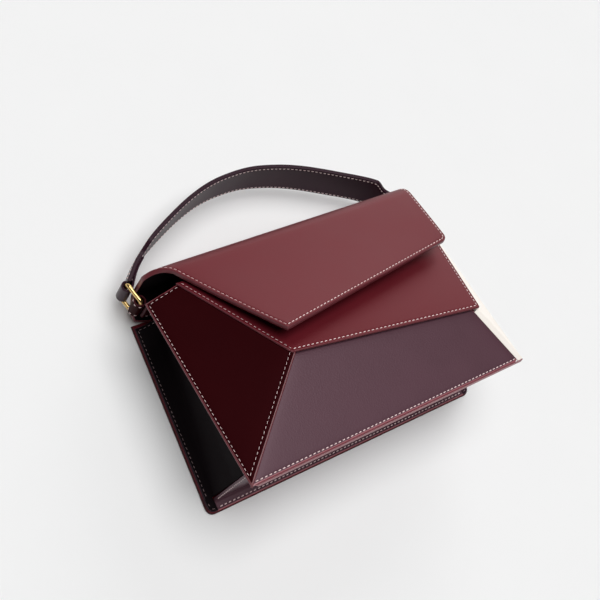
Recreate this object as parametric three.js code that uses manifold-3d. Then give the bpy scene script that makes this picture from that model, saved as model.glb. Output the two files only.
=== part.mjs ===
// Faceted shoulder bag lying on its back: millimetres, +Z up from the surface it lies on.
// X runs across the bag, Y from its bottom edge to its strap, Z from its back to its front.
import * as THREE from 'three';
import { mergeVertices } from 'three/addons/utils/BufferGeometryUtils.js';
import Module from 'manifold-3d';

const wasm = await Module();
wasm.setup();
const { Manifold, Mesh: SolidMesh } = wasm;

// Leather thicknesses and the clearance kept between sewn pieces
const CLEARANCE = 0.3;
const PANEL_T = 2.0;
const BACK_T = 3.0;
const FLAP_T = 3.6;
const GUSSET_T = 1.4;
const STRAP_T = 3.2;
const TAB_T = 1.6;

// Back panel
const BACK_HALF_BOTTOM = 125;
const BACK_HALF_TOP = 116.4;
const BACK_HEIGHT = 150;
const BACK_CORNER_R = 6;

// Corners of the folded front; heights of corners that close a flat facet are worked out below
const FRONT_Z = 82.7;
const FRONT_BOTTOM_Y = 1.7;
const FRONT_HALF = 121.4;
const CORNER = {
  bottomLeft: { x: -FRONT_HALF, y: FRONT_BOTTOM_Y, z: FRONT_Z },
  bottomRight: { x: FRONT_HALF, y: FRONT_BOTTOM_Y, z: FRONT_Z },
  peakLeft: { x: -54.9, y: 70.0, z: 89.5 },
  peakRight: { x: 103.2, y: 49.0 },
  topLeft: { x: -120.8, y: 145.0, z: 55.1 },
  ridgeLeft: { x: -95.7, y: 149.1 },
  ridgeRight: { x: 126.8, y: 146.1 },
  topRight: { x: 133.5, y: 146.1 },
};

// How far each front panel lies above the folded base surface, outermost last
const LEVEL = { right: 0, lower: 1.3, left: 2.6, upper: 3.9 };
const RIGHT_PANEL_T = 3.0;
const SEAM_LAP = 8;
const SEAM_ROOT = 3;
const SEAM_END = 14;
const SEAM_BITE = 0.05;

// Gussets and base
const FLANGE_MARGIN = 1.0;
const FRONT_MARGIN = 0.2;
const FLANGE_ROOT = 8;
const FLANGE_DROP = { left: 0.5, right: 1.3 };
const BASE_Y = 10;
const GUSSET_BOTTOM_Y = 11.3;
const GUSSET_TOP_Y = 147;
const GUSSET_FOLD = 13;
const GUSSET_FLAT_LOW = 12;
const GUSSET_FLAT_HIGH = 42;
const GUSSET_FOOT_RISE = 6;
const GUSSET_FRONT_RISE = 12;
const GUSSET_BEND_R = 2.5;
const GUSSET_ROWS = 15;

// Flap: corners of its outer face, and the curve that its neck follows over the top
const FLAP_HALF = 113.6;
const FLAP_LAP_HALF = 101;
const FLAP_LAP_Y = 132;
const NECK_Y = 150;
const TOP_OUT_Y = 168;
const NECK_RISE_Z = 23;
const NECK_WIDE_Z = 32;
const TOP_BEND_R = 14;
const TOP_BEND_Z = 56;
const TOP_SLOPE = 0.25;
const TIP = { x: -54.0, y: 84.5, z: 102.8 };
const FLAP_CORNER = { x: 119.1, y: 108.1, z: 80.9 };
const FLAP_TOP_LEFT = { x: -97.0, lift: 1.5 };
const FLAP_TOP_RIGHT = { x: 123.0, lift: -4.1 };
const LEAN = 0.33;
const FLAP_CORNER_R = 5;
const FLAP_TIP_WIDTH = 1.6;

// Strap: the line of its outer face on the surface, its width, and the tongues at its ends,
// which go round the rings and are turned back on its inner face
const STRAP_WIDTH = 34;
const STRAP_MID_Z = 25;
const STRAP_STEPS = 96;
const TONGUE_WIDTH = 19;
const TONGUE_BACK_T = 1.6;
const TONGUE = {
  left: { length: 25, shoulder: 36, back: 29 },
  right: { length: 18.5, shoulder: 31, back: 22 },
};
const STRAP_ROUTE = [
  { x: -116.4, y: 174.7 },
  { x: -112.8, y: 178.3 },
  { x: -106.5, y: 184.9 },
  { x: -101.2, y: 189.7 },
  { x: -86.1, y: 200.1 },
  { x: -65.2, y: 211.3 },
  { x: -44.6, y: 220.6 },
  { x: -25.1, y: 226.8 },
  { x: -7.1, y: 229.5 },
  { x: 15.3, y: 229.6 },
  { x: 40.0, y: 224.5 },
  { x: 59.5, y: 217.6 },
  { x: 88.1, y: 203.7 },
  { x: 117.0, y: 187.6 },
  { x: 128.7, y: 176.6 },
  { x: 132.6, y: 169.8 },
  { x: 134.0, y: 162.1 },
];

// Rings, the strap's end loops and the tabs that hold the rings. The left ring lies in line with the
// strap; the right one, hidden behind the flap, is swung out to where the strap's end points
const RING_WIRE_R = 1.6;
const RING = {
  left: { outer: { x: -118.4, y: 170.9 }, inner: { x: -114.6, y: 154.9 }, loop: { x: -118.0, y: 170.4 } },
  right: { outer: { x: 132.6, y: 157.4 }, inner: { x: 116.3, y: 156.4 }, loop: { x: 132.5, y: 158.0 } },
};
const RING_HALF_WIDTH = 11.5;
const RING_CORNER_R = 3;
const LOOP_R = 4.5;
const LOOP_BORE_R = 2.9;
const TAB_WIDTH = 19;
const TAB_R = 5.4;
const TAB_BORE_R = 4.1;
const TAB_CENTRE = { x: 114.2, y: 157.0 };
const TAB_NECK = { x: 111.4, y: 151.6 };
const TAB_BEND_R = 3;
const HEM_TURN = { out: 3, over: 3.2, under: 1 };
const TAB_TAIL_Y = 128;

// Magnet button between the flap's tip and the upper panel
const MAGNET_R = 5.5;
const MAGNET_T = 1.3;
const MAGNET_AT = { x: -42, y: 95 };

const BURGUNDY = new THREE.MeshStandardMaterial({ color: 0x6b2c33, roughness: 0.5, metalness: 0 });
const PLUM = new THREE.MeshStandardMaterial({ color: 0x4b333b, roughness: 0.55, metalness: 0 });
const DARK_PLUM = new THREE.MeshStandardMaterial({ color: 0x2c1a21, roughness: 0.55, metalness: 0 });
const CREAM = new THREE.MeshStandardMaterial({ color: 0xf3e9dd, roughness: 0.55, metalness: 0 });
const BRASS = new THREE.MeshStandardMaterial({ color: 0xd8b059, roughness: 0.25, metalness: 1 });

const vec = (x, y, z) => new THREE.Vector3(x, y, z);
const lerp = THREE.MathUtils.lerp;

// A closed mesh from corner points and polygon faces, turned so that it faces outward
function shell(points, faces) {
  const index = [];
  for (const face of faces) {
    for (let k = 1; k + 1 < face.length; k += 1) {
      index.push(face[0], face[k], face[k + 1]);
    }
  }
  let volume = 0;
  for (let k = 0; k < index.length; k += 3) {
    const [a, b, c] = [points[index[k]], points[index[k + 1]], points[index[k + 2]]];
    volume += a.dot(b.clone().cross(c));
  }
  if (volume < 0) {
    index.reverse();
  }
  const geometry = new THREE.BufferGeometry();
  geometry.setFromPoints(points);
  geometry.setIndex(index);
  return geometry;
}

// A sheet of leather of even thickness about a grid of middle points
function sheet(grid, thickness) {
  const rows = grid.length;
  const cols = grid[0].length;
  const points = [];
  for (const side of [0.5, -0.5]) {
    for (let i = 0; i < rows; i += 1) {
      for (let j = 0; j < cols; j += 1) {
        const along = grid[Math.min(i + 1, rows - 1)][j].clone().sub(grid[Math.max(i - 1, 0)][j]);
        const across = grid[i][Math.min(j + 1, cols - 1)].clone().sub(grid[i][Math.max(j - 1, 0)]);
        const normal = along.cross(across).normalize();
        points.push(grid[i][j].clone().addScaledVector(normal, side * thickness));
      }
    }
  }
  const under = rows * cols;
  const at = (i, j) => i * cols + j;
  const faces = [];
  for (let i = 0; i + 1 < rows; i += 1) {
    for (let j = 0; j + 1 < cols; j += 1) {
      const quad = [at(i, j), at(i + 1, j), at(i + 1, j + 1), at(i, j + 1)];
      faces.push(quad);
      faces.push(quad.map((k) => k + under).reverse());
    }
  }
  const count = (n) => [...Array(n).keys()];
  const rim = [
    ...count(cols - 1).map((j) => at(0, j)),
    ...count(rows - 1).map((i) => at(i, cols - 1)),
    ...count(cols - 1).map((j) => at(rows - 1, cols - 1 - j)),
    ...count(rows - 1).map((i) => at(rows - 1 - i, 0)),
  ];
  rim.forEach((a, k) => {
    const b = rim[(k + 1) % rim.length];
    faces.push([a, b, b + under, a + under]);
  });
  return shell(points, faces);
}

function toSolid(geometry) {
  const clean = geometry.clone();
  for (const name of Object.keys(clean.attributes)) {
    if (name !== 'position') {
      clean.deleteAttribute(name);
    }
  }
  const merged = mergeVertices(clean, 1e-4);
  return new Manifold(new SolidMesh({
    numProp: 3,
    vertProperties: new Float32Array(merged.attributes.position.array),
    triVerts: new Uint32Array(merged.index.array),
  }));
}

function toGeometry(solid) {
  const mesh = solid.getMesh();
  const geometry = new THREE.BufferGeometry();
  geometry.setAttribute('position', new THREE.BufferAttribute(new Float32Array(mesh.vertProperties), 3));
  geometry.setIndex(new THREE.BufferAttribute(new Uint32Array(mesh.triVerts), 1));
  return geometry;
}

function join(geometries) {
  return toGeometry(geometries.map(toSolid).reduce((sum, solid) => sum.add(solid)));
}

// A flat piece cut to an outline in X and Y between two heights
function plate(outline, low, high) {
  const geometry = new THREE.ExtrudeGeometry(outline, {
    depth: high - low,
    bevelEnabled: false,
    curveSegments: 8,
  });
  return geometry.translate(0, 0, low);
}

// A line of points with its inner corners rounded
function rounded(points, radius, steps) {
  const line = [points[0]];
  for (let k = 1; k + 1 < points.length; k += 1) {
    const before = points[k - 1].clone().sub(points[k]);
    const after = points[k + 1].clone().sub(points[k]);
    const reach = Math.min(radius, before.length() * 0.45, after.length() * 0.45);
    const start = points[k].clone().addScaledVector(before.normalize(), reach);
    const end = points[k].clone().addScaledVector(after.normalize(), reach);
    for (let n = 0; n <= steps; n += 1) {
      const u = n / steps;
      const first = start.clone().lerp(points[k], u);
      line.push(first.lerp(points[k].clone().lerp(end, u), u));
    }
  }
  line.push(points[points.length - 1]);
  return line;
}

// Planes of the folded front
const corner = {};
function setCorner(name, plane) {
  const { x, y, z } = CORNER[name];
  corner[name] = vec(x, y, plane ? heightOn(plane, x, y) : z);
}
function facePlane(a, b, c) {
  const plane = new THREE.Plane().setFromCoplanarPoints(corner[a], corner[b], corner[c]);
  return plane.normal.z < 0 ? plane.negate() : plane;
}
function heightOn(plane, x, y) {
  return -(plane.constant + plane.normal.x * x + plane.normal.y * y) / plane.normal.z;
}
function lifted(plane, level) {
  return new THREE.Plane(plane.normal.clone(), plane.constant - level);
}
function meet(a, b, c) {
  const bc = b.normal.clone().cross(c.normal);
  const point = bc.clone().multiplyScalar(-a.constant);
  point.addScaledVector(c.normal.clone().cross(a.normal), -b.constant);
  point.addScaledVector(a.normal.clone().cross(b.normal), -c.constant);
  return point.divideScalar(a.normal.dot(bc));
}

['bottomLeft', 'bottomRight', 'peakLeft', 'topLeft'].forEach((name) => setCorner(name));
const face = {
  lower: facePlane('bottomLeft', 'bottomRight', 'peakLeft'),
  left: facePlane('bottomLeft', 'peakLeft', 'topLeft'),
};
setCorner('peakRight', face.lower);
setCorner('ridgeLeft', face.left);
face.upper = facePlane('ridgeLeft', 'peakLeft', 'peakRight');
setCorner('ridgeRight', face.upper);
face.right = facePlane('bottomRight', 'peakRight', 'ridgeRight');
setCorner('topRight', face.right);

// Plane that stands on the edge from one corner to the next of a face, pointing out of the face.
// Along a ridge it halves the angle to the face beyond.
function edgePlane(own, from, to, beyond, inset) {
  const run = corner[to].clone().sub(corner[from]);
  const up = face[own].normal.clone();
  if (beyond) {
    up.add(face[beyond].normal);
  }
  const out = run.cross(up).normalize();
  const plane = new THREE.Plane().setFromNormalAndCoplanarPoint(out, corner[from]);
  plane.constant += inset;
  return plane;
}

// Flat-sided solid between two levels above a face, closed by the planes round it
function slab(own, planes, low, high) {
  const count = planes.length;
  const points = [low, high].flatMap((level) => {
    const flat = lifted(face[own], level);
    return planes.map((plane, k) => meet(flat, plane, planes[(k + 1) % count]));
  });
  const bottom = planes.map((_, k) => k);
  const faces = [bottom.slice().reverse(), bottom.map((k) => k + count)];
  bottom.forEach((k) => {
    const next = (k + 1) % count;
    faces.push([k, next, next + count, k + count]);
  });
  return shell(points, faces);
}

// Edge strip that turns over a ridge and lies under the panel beyond
function lap(own, beyond, from, to, low, high, startTrim, endTrim) {
  const ridge = edgePlane(own, from, to, beyond, 0);
  const run = corner[to].clone().sub(corner[from]);
  const length = run.length();
  run.normalize();
  const start = new THREE.Plane().setFromNormalAndCoplanarPoint(
    run.clone().negate(), corner[from].clone().addScaledVector(run, startTrim));
  const end = new THREE.Plane().setFromNormalAndCoplanarPoint(
    run, corner[from].clone().addScaledVector(run, length - endTrim));
  const rootSide = ridge.clone().negate();
  rootSide.constant -= SEAM_ROOT;
  const farSide = ridge.clone();
  farSide.constant -= SEAM_LAP;
  const pastRidge = ridge.clone();
  pastRidge.constant -= SEAM_BITE;
  const ownStrip = slab(own, [ridge, end, rootSide, start], low, high);
  const beyondStrip = slab(beyond, [farSide, end, ridge.clone().negate(), start], low, high);
  const bridge = slab(own, [pastRidge, end, rootSide, start], low, high - SEAM_BITE);
  return [ownStrip, beyondStrip, bridge];
}

const EDGES = {
  left: [
    ['bottomLeft', 'peakLeft', 'lower', 0],
    ['peakLeft', 'ridgeLeft', 'upper', CLEARANCE],
    ['ridgeLeft', 'topLeft', null, 0],
    ['topLeft', 'bottomLeft', null, 0],
  ],
  lower: [
    ['bottomLeft', 'bottomRight', null, 0],
    ['bottomRight', 'peakRight', 'right', 0],
    ['peakRight', 'peakLeft', 'upper', CLEARANCE],
    ['peakLeft', 'bottomLeft', 'left', CLEARANCE],
  ],
  right: [
    ['bottomRight', 'topRight', null, 0],
    ['topRight', 'ridgeRight', null, 0],
    ['ridgeRight', 'peakRight', 'upper', CLEARANCE],
    ['peakRight', 'bottomRight', 'lower', CLEARANCE],
  ],
  upper: [
    ['peakLeft', 'peakRight', 'lower', 0],
    ['peakRight', 'ridgeRight', 'right', 0],
    ['ridgeRight', 'ridgeLeft', null, 0],
    ['ridgeLeft', 'peakLeft', 'left', 0],
  ],
};

function panel(own, thickness, laps) {
  const planes = EDGES[own].map((edge) => edgePlane(own, ...edge));
  const flat = slab(own, planes, LEVEL[own], LEVEL[own] + thickness);
  return laps.length ? join([flat, ...laps.flat()]) : flat;
}

const underUpper = LEVEL.upper - CLEARANCE;
const underLeft = LEVEL.left - CLEARANCE;
const underLower = LEVEL.lower - CLEARANCE;

function upperPanel() {
  return panel('upper', PANEL_T, []);
}
function leftPanel() {
  return panel('left', PANEL_T, [
    lap('left', 'upper', 'peakLeft', 'ridgeLeft', LEVEL.left, underUpper, SEAM_END, SEAM_ROOT),
  ]);
}
function lowerPanel() {
  return panel('lower', PANEL_T, [
    lap('lower', 'left', 'peakLeft', 'bottomLeft', LEVEL.lower, underLeft, SEAM_END, 2 * SEAM_END),
    lap('lower', 'upper', 'peakRight', 'peakLeft', LEVEL.lower, underUpper, SEAM_END, SEAM_END),
  ]);
}
function rightPanel() {
  return panel('right', RIGHT_PANEL_T, [
    lap('right', 'lower', 'peakRight', 'bottomRight', LEVEL.right, underLower, SEAM_END, 2 * SEAM_END),
    lap('right', 'upper', 'ridgeRight', 'peakRight', LEVEL.lower, underUpper, SEAM_ROOT, SEAM_END),
  ]);
}

// Back panel
function backHalf(y) {
  return lerp(BACK_HALF_BOTTOM, BACK_HALF_TOP, y / BACK_HEIGHT);
}
function backPanel() {
  const outline = new THREE.Shape();
  outline.moveTo(-backHalf(BACK_HEIGHT), BACK_HEIGHT);
  outline.lineTo(-backHalf(BACK_CORNER_R), BACK_CORNER_R);
  outline.quadraticCurveTo(-BACK_HALF_BOTTOM, 0, -BACK_HALF_BOTTOM + BACK_CORNER_R, 0);
  outline.lineTo(BACK_HALF_BOTTOM - BACK_CORNER_R, 0);
  outline.quadraticCurveTo(BACK_HALF_BOTTOM, 0, backHalf(BACK_CORNER_R), BACK_CORNER_R);
  outline.lineTo(backHalf(BACK_HEIGHT), BACK_HEIGHT);
  outline.closePath();
  return plate(outline, 0, BACK_T);
}

// Gusset: flange on the back panel, wall folded inward toward the top, flange under the front
const FLANGE_Z = BACK_T + CLEARANCE + GUSSET_T / 2;
function frontEdgeX(side, y) {
  const [low, high] = side < 0
    ? [corner.bottomLeft, corner.topLeft]
    : [corner.bottomRight, corner.topRight];
  return lerp(low.x, high.x, (y - low.y) / (high.y - low.y));
}
function gusset(side) {
  const own = side < 0 ? 'left' : 'right';
  const underside = lifted(face[own], LEVEL[own] - FLANGE_DROP[own] - GUSSET_T / 2);
  const grid = [];
  for (let i = 0; i <= GUSSET_ROWS; i += 1) {
    const rise = i / GUSSET_ROWS;
    const y = lerp(GUSSET_BOTTOM_Y, GUSSET_TOP_Y, rise);
    const backX = side * backHalf(y);
    const frontY = Math.min(y, CORNER.topLeft.y - FLANGE_MARGIN);
    const frontX = frontEdgeX(side, frontY);
    const fold = GUSSET_FOLD * rise;
    const rootX = backX - side * FLANGE_ROOT;
    const frontRootX = frontX - side * FLANGE_ROOT;
    const wallTop = heightOn(underside, frontRootX, frontY) - GUSSET_T;
    const low = lerp(FLANGE_Z + GUSSET_FOOT_RISE, GUSSET_FLAT_LOW, rise);
    const high = Math.min(GUSSET_FLAT_HIGH, wallTop - GUSSET_FRONT_RISE);
    const profile = [
      vec(backX - side * FLANGE_MARGIN, y, FLANGE_Z),
      vec(rootX, y, FLANGE_Z),
      vec(rootX - side * fold, y, low),
      vec(frontRootX - side * fold, y, high),
      vec(frontRootX, y, heightOn(underside, frontRootX, y)),
      vec(frontX - side * FRONT_MARGIN, y, heightOn(underside, frontX - side * FRONT_MARGIN, y)),
    ];
    grid.push(rounded(profile, GUSSET_BEND_R, 2));
  }
  const wall = sheet(grid, GUSSET_T);
  const foot = new THREE.Shape();
  const outer = (y) => side * (backHalf(y) - FLANGE_MARGIN);
  const inner = side * (backHalf(0) - FLANGE_ROOT + CLEARANCE);
  const footTop = GUSSET_BOTTOM_Y + FLANGE_MARGIN;
  foot.moveTo(outer(footTop), footTop);
  foot.lineTo(outer(BACK_CORNER_R), BACK_CORNER_R);
  foot.lineTo(side * (backHalf(0) - BACK_CORNER_R / 2), FLANGE_MARGIN);
  foot.lineTo(inner, FLANGE_MARGIN);
  foot.lineTo(inner, footTop);
  foot.closePath();
  return join([wall, plate(foot, FLANGE_Z - GUSSET_T / 2, FLANGE_Z + GUSSET_T / 2)]);
}

// Base: flange on the back panel, wall, flange under the lower front panel
function base() {
  const underside = lifted(face.lower, LEVEL.lower - CLEARANCE - GUSSET_T / 2);
  const half = BACK_HALF_BOTTOM - FLANGE_ROOT;
  const grid = [-half, half].map((x) => rounded([
    vec(x, FLANGE_MARGIN, FLANGE_Z),
    vec(x, BASE_Y - GUSSET_T / 2, FLANGE_Z),
    vec(x, BASE_Y - GUSSET_T / 2, heightOn(underside, x, BASE_Y)),
    vec(x, FRONT_BOTTOM_Y + FRONT_MARGIN, heightOn(underside, x, FRONT_BOTTOM_Y + FRONT_MARGIN)),
  ], GUSSET_BEND_R, 4));
  return sheet(grid, GUSSET_T);
}

// Curve of the flap's middle over the top of the bag, as y and z
const FLAP_MID_Z = BACK_T + CLEARANCE + FLAP_T / 2;
function flapCurve() {
  const outY = TOP_OUT_Y - FLAP_T / 2;
  const r = TOP_BEND_R - FLAP_T / 2;
  const neckEnd = new THREE.Vector2(outY, FLAP_MID_Z + NECK_RISE_Z);
  const path = new THREE.CurvePath();
  path.add(new THREE.LineCurve(
    new THREE.Vector2(FLAP_LAP_Y, FLAP_MID_Z), new THREE.Vector2(NECK_Y, FLAP_MID_Z)));
  path.add(new THREE.EllipseCurve(
    NECK_Y, neckEnd.y, outY - NECK_Y, NECK_RISE_Z, -Math.PI / 2, 0, false, 0));
  path.add(new THREE.LineCurve(neckEnd, new THREE.Vector2(outY, TOP_BEND_Z)));
  path.add(new THREE.EllipseCurve(
    outY - r, TOP_BEND_Z, r, r, 0, Math.PI / 2 - Math.atan(TOP_SLOPE), false, 0));
  return path;
}
const flapPath = flapCurve();
const BEND_LENGTH = flapPath.getLength();
const FRONT_TOP = flapPath.getPointAt(1);

// The top of the bag stands higher at its left end
function topLift(x) {
  const u = (x - FLAP_TOP_LEFT.x) / (FLAP_TOP_RIGHT.x - FLAP_TOP_LEFT.x);
  return lerp(FLAP_TOP_LEFT.lift, FLAP_TOP_RIGHT.lift, u);
}

// Height of the flap's middle over the front, where it lifts off more toward its tip
function flapFrontZ(x, y) {
  const u = (x - TIP.x) / (FLAP_CORNER.x - TIP.x);
  const reach = FRONT_TOP.x - lerp(TIP.y, FLAP_CORNER.y, u);
  const top = FRONT_TOP.y + topLift(x);
  const rise = lerp(TIP.z, FLAP_CORNER.z, u) - FLAP_T / 2 - top;
  const down = FRONT_TOP.x - y;
  return top + TOP_SLOPE * down + (rise - TOP_SLOPE * reach) * (down / reach) ** 2;
}

function flapLeft(y) {
  return lerp(TIP.x, FLAP_TOP_LEFT.x, (y - TIP.y) / (FRONT_TOP.x - TIP.y));
}

// Rows of the flap from its lap inside the back panel to its tip
function flapRows() {
  const rows = [];
  const lapLength = NECK_Y - FLAP_LAP_Y;
  const lengths = [0, lapLength / 2, lapLength];
  const bendRows = 18;
  for (let k = 1; k < bendRows; k += 1) {
    lengths.push(lerp(lapLength, BEND_LENGTH, k / bendRows));
  }
  const slant = flapLeft(0) - flapLeft(1);
  for (const along of lengths) {
    const [y, z] = flapPath.getPointAt(along / BEND_LENGTH).toArray();
    const rise = THREE.MathUtils.smoothstep(z, FLAP_MID_Z, NECK_WIDE_Z);
    const half = lerp(FLAP_LAP_HALF, FLAP_HALF, rise);
    const slanted = FLAP_TOP_LEFT.x - slant * (BEND_LENGTH - along);
    const widen = THREE.MathUtils.smoothstep(z, TOP_BEND_Z - TOP_BEND_R, TOP_BEND_Z);
    rows.push({
      y,
      z,
      left: Math.max(-half, slanted),
      right: lerp(half, FLAP_CORNER.x, widen),
      lift: THREE.MathUtils.smoothstep(z, FLAP_MID_Z, FRONT_TOP.y),
    });
  }
  const cornerTop = FLAP_CORNER.y + FLAP_CORNER_R;
  const straightRows = 6;
  for (let k = 0; k <= straightRows; k += 1) {
    const y = lerp(FRONT_TOP.x, cornerTop, k / straightRows);
    rows.push({ y, left: flapLeft(y), right: FLAP_CORNER.x });
  }
  const turnRows = 6;
  for (let k = 1; k <= turnRows; k += 1) {
    const turn = (k / turnRows) * (Math.PI / 2);
    const y = cornerTop - FLAP_CORNER_R * Math.sin(turn);
    rows.push({ y, left: flapLeft(y), right: FLAP_CORNER.x - FLAP_CORNER_R * (1 - Math.cos(turn)) });
  }
  const tipRows = 8;
  for (let k = 1; k <= tipRows; k += 1) {
    const y = lerp(FLAP_CORNER.y, TIP.y, k / tipRows);
    const right = lerp(FLAP_CORNER.x - FLAP_CORNER_R, TIP.x, k / tipRows);
    rows.push({ y, left: flapLeft(y), right: Math.max(right, flapLeft(y) + FLAP_TIP_WIDTH) });
  }
  return rows;
}

function flap() {
  const cols = 12;
  const grid = flapRows().map(({ y, z, left, right, lift }) => {
    const row = [];
    for (let j = 0; j <= cols; j += 1) {
      const x = lerp(left, right, j / cols);
      if (z === undefined) {
        row.push(vec(x, y - LEAN * topLift(x), flapFrontZ(x, y)));
      } else {
        row.push(vec(x, y - LEAN * topLift(x) * lift, z + topLift(x) * lift));
      }
    }
    return row;
  });
  return sheet(grid, FLAP_T);
}

// A round leather loop standing along Z
function loopTube(x, y, outer, bore, width) {
  const ring = new THREE.Shape().absarc(x, y, outer, 0, 2 * Math.PI, false);
  ring.holes.push(new THREE.Path().absarc(x, y, bore, 0, 2 * Math.PI, true));
  return plate(ring, STRAP_MID_Z - width / 2, STRAP_MID_Z + width / 2);
}

// A row of points across the strap's middle, a given depth in from its outer face
function acrossStrap(route, u, depth, width, cols) {
  const p = route.getPointAt(u);
  const tangent = route.getTangentAt(u);
  p.addScaledVector(vec(tangent.y, -tangent.x, 0), depth);
  const row = [];
  for (let j = 0; j <= cols; j += 1) {
    row.push(vec(p.x, p.y, STRAP_MID_Z + width * (j / cols - 0.5)));
  }
  return row;
}

function strap() {
  const stops = STRAP_ROUTE.map(({ x, y }) => vec(x, y, 0));
  const route = new THREE.CatmullRomCurve3(stops, false, 'centripetal');
  const length = route.getLength();
  const main = [];
  const back = { left: [], right: [] };
  for (let i = 0; i <= STRAP_STEPS; i += 1) {
    const u = i / STRAP_STEPS;
    const fromEnd = { left: u * length, right: (1 - u) * length };
    const widen = Object.keys(TONGUE).map((end) => {
      return THREE.MathUtils.smoothstep(fromEnd[end], TONGUE[end].length, TONGUE[end].shoulder);
    });
    const width = lerp(TONGUE_WIDTH, STRAP_WIDTH, Math.min(...widen));
    main.push(acrossStrap(route, u, STRAP_T / 2, width, 4));
    for (const end of Object.keys(TONGUE)) {
      if (fromEnd[end] < TONGUE[end].back) {
        const depth = STRAP_T + TONGUE_BACK_T / 2 - SEAM_BITE;
        back[end].push(acrossStrap(route, u, depth, TONGUE_WIDTH, 1));
      }
    }
  }
  const loops = Object.values(RING).map(({ loop }) => {
    return loopTube(loop.x, loop.y, LOOP_R, LOOP_BORE_R, TONGUE_WIDTH);
  });
  const backs = Object.values(back).map((grid) => sheet(grid, TONGUE_BACK_T));
  return join([sheet(main, STRAP_T), ...backs, ...loops]);
}

// Rectangular ring of round wire
function ring({ outer, inner }) {
  const out = vec(outer.x, outer.y, STRAP_MID_Z);
  const along = vec(inner.x, inner.y, STRAP_MID_Z).sub(out);
  const length = along.length();
  along.normalize();
  const wide = vec(0, 0, 1);
  const bends = [[0, -1], [length, -1], [length, 1], [0, 1]].map(([u, v]) => {
    return out.clone().addScaledVector(along, u).addScaledVector(wide, v * RING_HALF_WIDTH);
  });
  const path = [];
  bends.forEach((here, k) => {
    const next = bends[(k + 1) % bends.length].clone();
    const last = bends[(k + bends.length - 1) % bends.length].clone();
    const start = here.clone().addScaledVector(last.sub(here).normalize(), RING_CORNER_R);
    const end = here.clone().addScaledVector(next.sub(here).normalize(), RING_CORNER_R);
    const bend = new THREE.QuadraticBezierCurve3(start, here, end);
    path.push(...bend.getPoints(4));
  });
  const sides = 10;
  const binormal = along.clone().cross(wide).normalize();
  const points = [];
  const count = path.length;
  path.forEach((p, k) => {
    const tangent = path[(k + 1) % count].clone().sub(path[(k + count - 1) % count]).normalize();
    const radial = tangent.clone().cross(binormal).normalize();
    for (let n = 0; n < sides; n += 1) {
      const angle = (2 * Math.PI * n) / sides;
      points.push(p.clone()
        .addScaledVector(radial, RING_WIRE_R * Math.cos(angle))
        .addScaledVector(binormal, RING_WIRE_R * Math.sin(angle)));
    }
  });
  const faces = [];
  for (let k = 0; k < count; k += 1) {
    for (let n = 0; n < sides; n += 1) {
      const k2 = (k + 1) % count;
      const n2 = (n + 1) % sides;
      faces.push([k * sides + n, k * sides + n2, k2 * sides + n2, k2 * sides + n]);
    }
  }
  return shell(points, faces);
}

// Tab: loop round the ring's inner bar, its tail over the gusset's hem and down inside
function tab(side) {
  const valley = (y) => {
    const u = (y - GUSSET_BOTTOM_Y) / (GUSSET_TOP_Y - GUSSET_BOTTOM_Y);
    return backHalf(y) - FLANGE_ROOT - GUSSET_FOLD * u - GUSSET_T / 2 - 3 * CLEARANCE - TAB_T;
  };
  const line = [
    [TAB_NECK.x, TAB_NECK.y],
    [valley(GUSSET_TOP_Y) + HEM_TURN.out, GUSSET_TOP_Y + HEM_TURN.over],
    [valley(GUSSET_TOP_Y), GUSSET_TOP_Y - HEM_TURN.under],
    [valley(TAB_TAIL_Y), TAB_TAIL_Y],
  ].map(([x, y]) => vec(side * x, y, 0));
  const path = rounded(line, TAB_BEND_R, 4);
  const grid = path.map((p) => [-0.5, 0.5].map((v) => vec(p.x, p.y, STRAP_MID_Z + v * TAB_WIDTH)));
  const loop = loopTube(side * TAB_CENTRE.x, TAB_CENTRE.y, TAB_R, TAB_BORE_R, TAB_WIDTH);
  return join([sheet(grid, TAB_T * 2), loop]);
}

function magnetButton() {
  const geometry = new THREE.CylinderGeometry(MAGNET_R, MAGNET_R, MAGNET_T, 28);
  const seat = lifted(face.upper, LEVEL.upper + PANEL_T + CLEARANCE + MAGNET_T / 2);
  const turn = new THREE.Quaternion().setFromUnitVectors(vec(0, 1, 0), seat.normal);
  geometry.applyQuaternion(turn);
  return geometry.translate(MAGNET_AT.x, MAGNET_AT.y, heightOn(seat, MAGNET_AT.x, MAGNET_AT.y));
}

const PIECES = [
  ['back_panel', backPanel(), BURGUNDY],
  ['left_gusset', gusset(-1), DARK_PLUM],
  ['right_gusset', gusset(1), DARK_PLUM],
  ['base', base(), PLUM],
  ['left_panel', leftPanel(), BURGUNDY],
  ['lower_panel', lowerPanel(), PLUM],
  ['right_panel', rightPanel(), CREAM],
  ['upper_panel', upperPanel(), BURGUNDY],
  ['flap', flap(), BURGUNDY],
  ['magnet_button', magnetButton(), BRASS],
  ['left_tab', tab(-1), BURGUNDY],
  ['right_tab', tab(1), BURGUNDY],
  ['left_ring', ring(RING.left), BRASS],
  ['right_ring', ring(RING.right), BRASS],
  ['strap', strap(), DARK_PLUM],
];

const bag = new THREE.Group();
bag.name = 'shoulder_bag';
const extent = new THREE.Box3();
for (const [name, geometry, material] of PIECES) {
  geometry.computeVertexNormals();
  const mesh = new THREE.Mesh(geometry, material.clone());
  mesh.name = name;
  bag.add(mesh);
  extent.expandByObject(mesh);
}

// The origin is the middle of the face that the bag lies on
const middle = extent.getCenter(new THREE.Vector3());
for (const mesh of bag.children) {
  mesh.position.set(-middle.x, -middle.y, -extent.min.z);
}

export default bag;
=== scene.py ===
"""Colour-blocked leather shoulder bag lying on its back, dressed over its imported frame."""
import math

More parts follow.
